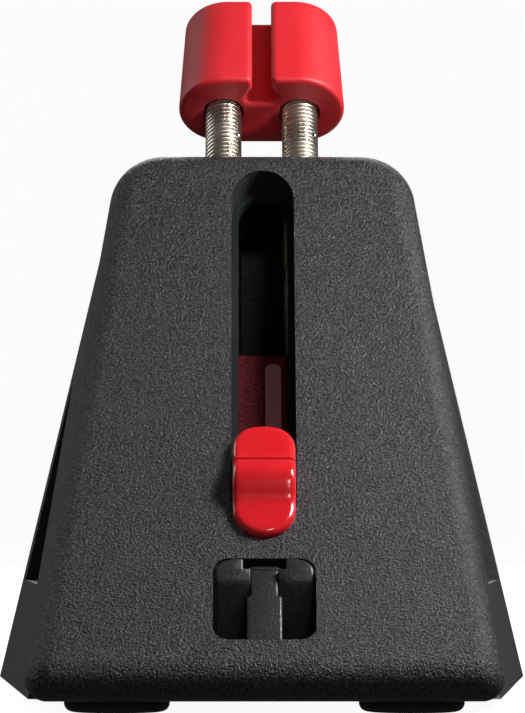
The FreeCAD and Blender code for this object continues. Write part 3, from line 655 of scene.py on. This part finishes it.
def make_guide():
    """Black insert in the window: two rolled lobes, a T-shaped gap and a flat tongue behind it."""
    low, high = leaning_box("cord_guide")
    face = leaning_box("rear_cover")[0].y
    outer = high.x - GUIDE_FLANGE
    bottom = low.z + GUIDE_FLANGE + 0.02 * MM
    top = bottom + GUIDE_TALL
    parts = [lobe(side, outer, face + GUIDE_SET_BACK, high.y, bottom, top) for side in (-1, 1)]
    parts.append(tongue(face + TONGUE_DEPTH, high.y - 0.2 * MM, bottom, top - TONGUE_DROP))
    parts.append(flange(high.x, outer + 0.05 * MM, face + FLANGE_NEAR, face + FLANGE_FAR, low.z, high.z))
    matrix = leaning_matrix(NOD_POINT)
    vertices, faces = [], []
    for more, sides in parts:
        first = len(vertices)
        vertices += [matrix @ point for point in more]
        faces += [tuple(first + number for number in side) for side in sides]
    piece = dress(mesh_piece("guide_insert", vertices, faces), "gloss_black")
    smooth_by_angle(piece, 38)
    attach(piece, "housing")
    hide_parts("cord_guide")


make_guide()


# ---------------------------------------------------------------- stage, light and camera
def make_stage():
    """A pale floor that sweeps up into a backdrop, so bright that it stays near white."""
    width, front, back, radius, top = 6.0, -3.0, 1.6, 0.8, 3.0
    profile = [(front, 0.0), (back, 0.0)]
    profile += [(back + x, radius + z) for x, z in arc((0, 0), radius, -80, 0, 8)]
    profile.append((back + radius, top))
    vertices = [(side * width / 2, y, z) for y, z in profile for side in (-1, 1)]
    faces = [(2 * k, 2 * k + 1, 2 * k + 3, 2 * k + 2) for k in range(len(profile) - 1)]
    floor = mesh_piece("floor", vertices, faces)
    material, _, shader = new_material("pale_floor", (0.35, 0.35, 0.35), 0.8, specular=0.0)
    shader.inputs["Emission Color"].default_value = (1, 1, 1, 1)
    shader.inputs["Emission Strength"].default_value = 0.94
    floor.data.materials.append(material)
    floor.visible_diffuse = False
    floor.visible_glossy = False


# name: place, target, size across and along, power
LIGHTS = {
    "key": ((0.120, -0.070, 0.160), (0.02, -0.015, 0.05), (0.05, 0.05), 0.53),
    "right": ((0.48, -0.06, 0.40), (0.02, -0.01, 0.05), (0.2, 0.3), 0.9),
    "left": ((-0.50, 0.20, 0.30), (-0.02, 0.0, 0.05), (0.3, 0.4), 0.9),
    "back": ((0.0, 0.62, 0.40), (0, 0.02, 0.06), (0.3, 0.3), 1.5),
    "front": ((0.13, -0.60, 0.27), (0, 0, 0.10), (0.12, 0.12), 0.42),
}
WORLD_STRENGTH = 0.07


def area_light(name, place, target, size, power):
    """A rectangular light that faces its target."""
    light = bpy.data.lights.new(name, "AREA")
    light.shape = "RECTANGLE"
    light.size, light.size_y = size
    light.energy = power
    lamp = bpy.data.objects.new(name, light)
    bpy.context.scene.collection.objects.link(lamp)
    lamp.location = place
    lamp.rotation_euler = (Vector(target) - Vector(place)).to_track_quat("-Z", "Y").to_euler()


def make_lights():
    """A small near key on the right, large soft panels round the object and a dim even world."""
    for name, setting in LIGHTS.items():
        area_light(name, *setting)
    world = bpy.data.worlds.new("studio")
    world.use_nodes = True
    world.node_tree.nodes["Background"].inputs["Color"].default_value = (1, 1, 1, 1)
    world.node_tree.nodes["Background"].inputs["Strength"].default_value = WORLD_STRENGTH
    bpy.context.scene.world = world


CAMERA_LENS = 221
CAMERA_LEFT = 0.004
CAMERA_DISTANCE = 0.6
CAMERA_HEIGHT = 0.0331
CAMERA_PITCH = math.radians(1.37)
CAMERA_YAW = math.radians(-0.35)


def make_camera():
    """Long lens in front of the slider side, low, slightly left of centre and pitched slightly up."""
    cover_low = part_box("rear_cover")[0]
    camera = bpy.data.cameras.new("camera")
    camera.lens = CAMERA_LENS
    camera.sensor_width = 36
    camera.clip_start = 0.01
    holder = bpy.data.objects.new("camera", camera)
    bpy.context.scene.collection.objects.link(holder)
    holder.location = (-CAMERA_LEFT, cover_low.y - CAMERA_DISTANCE, cover_low.z + CAMERA_HEIGHT)
    holder.rotation_euler = (math.radians(90) + CAMERA_PITCH, 0, CAMERA_YAW)
    bpy.context.scene.camera = holder


make_stage()
make_lights()
make_camera()
bpy.context.scene.view_settings.view_transform = "Standard"
